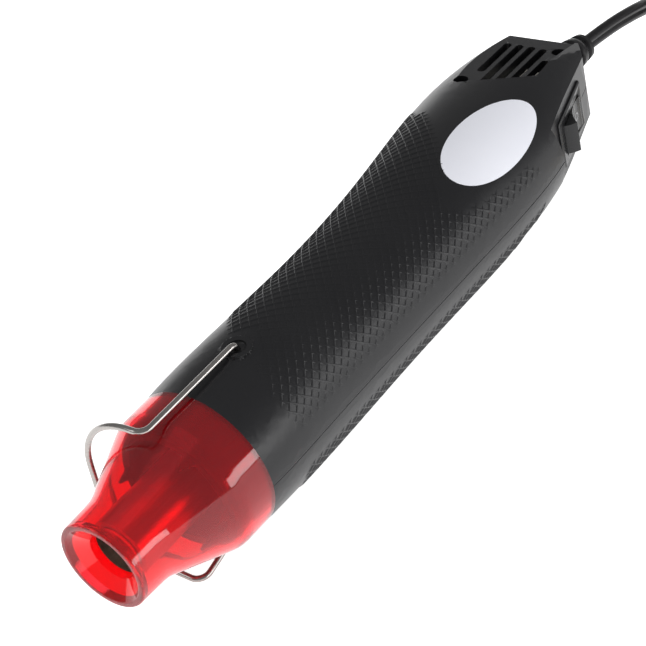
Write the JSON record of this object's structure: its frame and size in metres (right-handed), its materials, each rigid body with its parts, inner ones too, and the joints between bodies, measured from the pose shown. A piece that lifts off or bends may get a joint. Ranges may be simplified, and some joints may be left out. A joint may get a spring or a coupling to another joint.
{
  "type": "embossing heat tool",
  "caption": "Slim hand-held hot air gun for embossing, with a flared see-through nozzle guard, a black two-part housing, a rear rocker switch and a folding wire bail.",
  "frame": {"origin": "centre of the nozzle guard's mouth, on the tool's straight axis", "axes": "+X from the mouth to the tail, +Y towards the belly side, -Y towards the seam with the switch, +Z towards the left shell; the tool lies on its right shell"},
  "size_m": [0.3626, 0.0839, 0.0509],
  "materials": {
    "housing_black": "satin, with a fine diamond knurl on the grip",
    "guard_red": "polished, see-through",
    "black_phenolic": "matt",
    "steel_tube": "drawn",
    "zinc_steel": "zinc plated",
    "steel_wire": "polished",
    "mica": "pearly",
    "resistance_wire": "oxidised",
    "magnet": "sintered",
    "inner_plastic": "moulded",
    "brass": "plain",
    "board": "laminate",
    "diode_black": "moulded",
    "switch_black": "satin gloss",
    "cord_black": "satin"
  },
  "bodies": {
    "housing": {"left_shell": "housing_black", "right_shell": "housing_black", "case_screws": "zinc_steel", "nozzle_guard": "guard_red", "tab_ring": "black_phenolic", "heater_tube": "steel_tube", "heater_plate": "black_phenolic", "mica_sleeve": "mica", "mica_cross": "mica", "heating_element": "resistance_wire", "thermal_fuse": "zinc_steel", "fan_duct": "inner_plastic", "motor_can": "zinc_steel", "motor_magnets": "magnet", "motor_end_cap": "inner_plastic", "motor_tags": "brass", "rectifier_board": "board", "diodes": "diode_black", "switch_body": "switch_black", "switch_tags": "brass", "strain_relief": "cord_black", "cord_core": "cord_black", "cord_clamp": "inner_plastic", "clamp_screws": "zinc_steel", "cord": "cord_black", "cord_coil": "cord_black", "cord_lead": "cord_black", "plug_body": "cord_black", "plug_blades": "brass"},
    "bail": {"bail_stand": "steel_wire"},
    "rocker": {"rocker": "switch_black"},
    "rotor": {"fan": "inner_plastic", "motor_shaft": "steel_wire", "armature": "steel_tube"}
  },
  "joints": [
    {"name": "bail_fold", "type": "hinge", "parent": "housing", "child": "bail", "pos_m": [0.0615, 0, 0], "axis": [0, 0, -1], "range_deg": [0, 100]},
    {"name": "rocker_tilt", "type": "hinge", "parent": "housing", "child": "rocker", "pos_m": [0.19632, -0.00755, 0], "axis": [0, 0, -1], "range_deg": [0, 24]},
    {"name": "motor_spin", "type": "hinge", "parent": "housing", "child": "rotor", "pos_m": [0.1, 0, 0], "axis": [1, 0, 0], "continuous": true}
  ]
}
